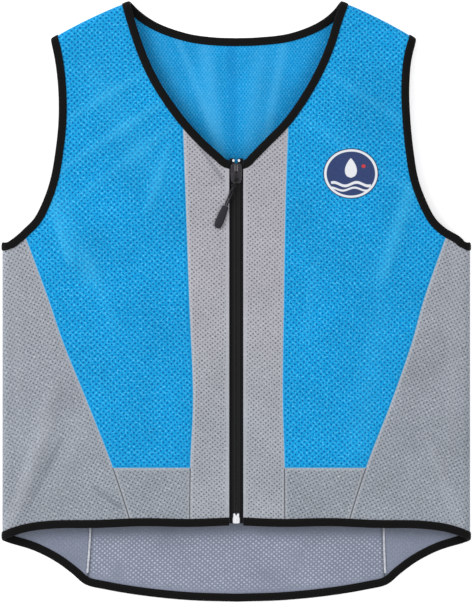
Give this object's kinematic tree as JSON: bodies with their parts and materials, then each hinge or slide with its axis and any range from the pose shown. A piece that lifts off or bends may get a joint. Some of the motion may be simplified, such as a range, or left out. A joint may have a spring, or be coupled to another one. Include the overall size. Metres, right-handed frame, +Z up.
{
  "type": "cooling vest",
  "caption": "Zip-front sleeveless vest of padded mesh cloth with bound edges, tapering side panels, a dropped back hem and a corded zip pull, lying flat on its back.",
  "frame": {"origin": "middle of the vest's plan box, on the surface that it lies on", "axes": "+Y towards the neck, +X towards the wearer's left side, +Z up from the surface through the front"},
  "size_m": [0.5622, 0.7205, 0.0266],
  "materials": {
    "blue_mesh": "matte padded mesh, perforated",
    "grey_mesh": "matte padded mesh, perforated",
    "black_binding": "ribbed stretch tape",
    "zip_tape": "woven twill tape",
    "zip_coil": "moulded coil",
    "black_metal": "black lacquer",
    "bright_metal": "bright pressed metal",
    "pull_cord": "braided cord",
    "soft_grip": "soft moulded plastic",
    "badge_print": "printed transfer"
  },
  "bodies": {
    "root": {"front_panel_left": "blue_mesh", "front_panel_right": "blue_mesh", "back_panel": "blue_mesh", "centre_strip_left": "grey_mesh", "centre_strip_right": "grey_mesh", "hem_insert_left": "grey_mesh", "hem_insert_right": "grey_mesh", "side_panel_left": "grey_mesh", "side_panel_right": "grey_mesh", "tail_panel": "grey_mesh", "seam_edge_left": "grey_mesh", "seam_edge_right": "grey_mesh", "neck_binding": "black_binding", "armhole_binding_left": "black_binding", "armhole_binding_right": "black_binding", "hem_binding": "black_binding", "zip_tape_left": "zip_tape", "zip_tape_right": "zip_tape", "zip_coil_left": "zip_coil", "zip_coil_right": "zip_coil", "zip_slider": "black_metal", "pull_tab": "black_metal", "pull_cord": "pull_cord", "pull_grip": "soft_grip", "zip_top_stop_left": "bright_metal", "zip_top_stop_right": "bright_metal", "zip_box": "bright_metal", "chest_badge": "badge_print"}
  },
  "joints": []
}
